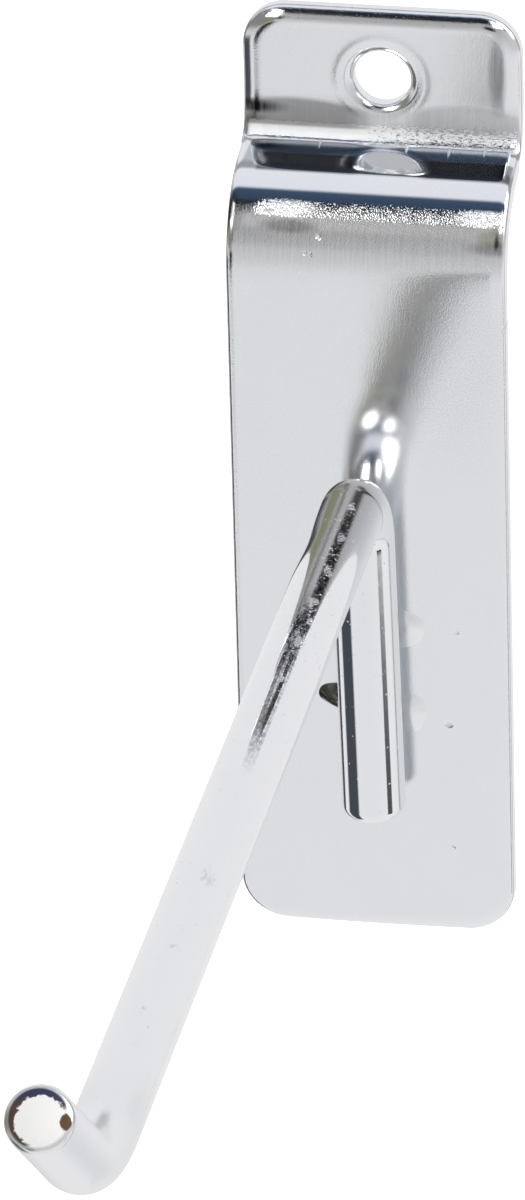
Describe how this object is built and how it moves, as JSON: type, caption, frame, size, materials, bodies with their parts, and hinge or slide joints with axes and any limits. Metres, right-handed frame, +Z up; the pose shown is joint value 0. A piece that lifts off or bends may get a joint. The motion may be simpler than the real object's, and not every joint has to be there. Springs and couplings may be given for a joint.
{
  "type": "slatwall hook",
  "caption": "Display hook for a slatted wall board: a folded plated steel back plate with a hanging flange, and a round wire arm with an upturned tip welded to its front.",
  "frame": {"origin": "on the back face of the flat plate, where the axis of the arm meets it", "axes": "+Y into the wall, square to the plate's back; +Z up along the plate; +X across it, so the arm points to -Y"},
  "size_m": [0.0262, 0.16, 0.0905],
  "materials": {
    "plated_sheet": "bright plating on folded sheet steel, with fine brushed lines near the folds",
    "plated_wire": "bright plating on drawn wire, pitted round the bend",
    "weld_bead": "plated weld bead, duller and rougher than the wire"
  },
  "bodies": {
    "root": {"back_plate": "plated_sheet", "hook_rod": "plated_wire", "upper_weld_left": "weld_bead", "upper_weld_right": "weld_bead", "lower_weld_left": "weld_bead", "lower_weld_right": "weld_bead"}
  },
  "joints": []
}
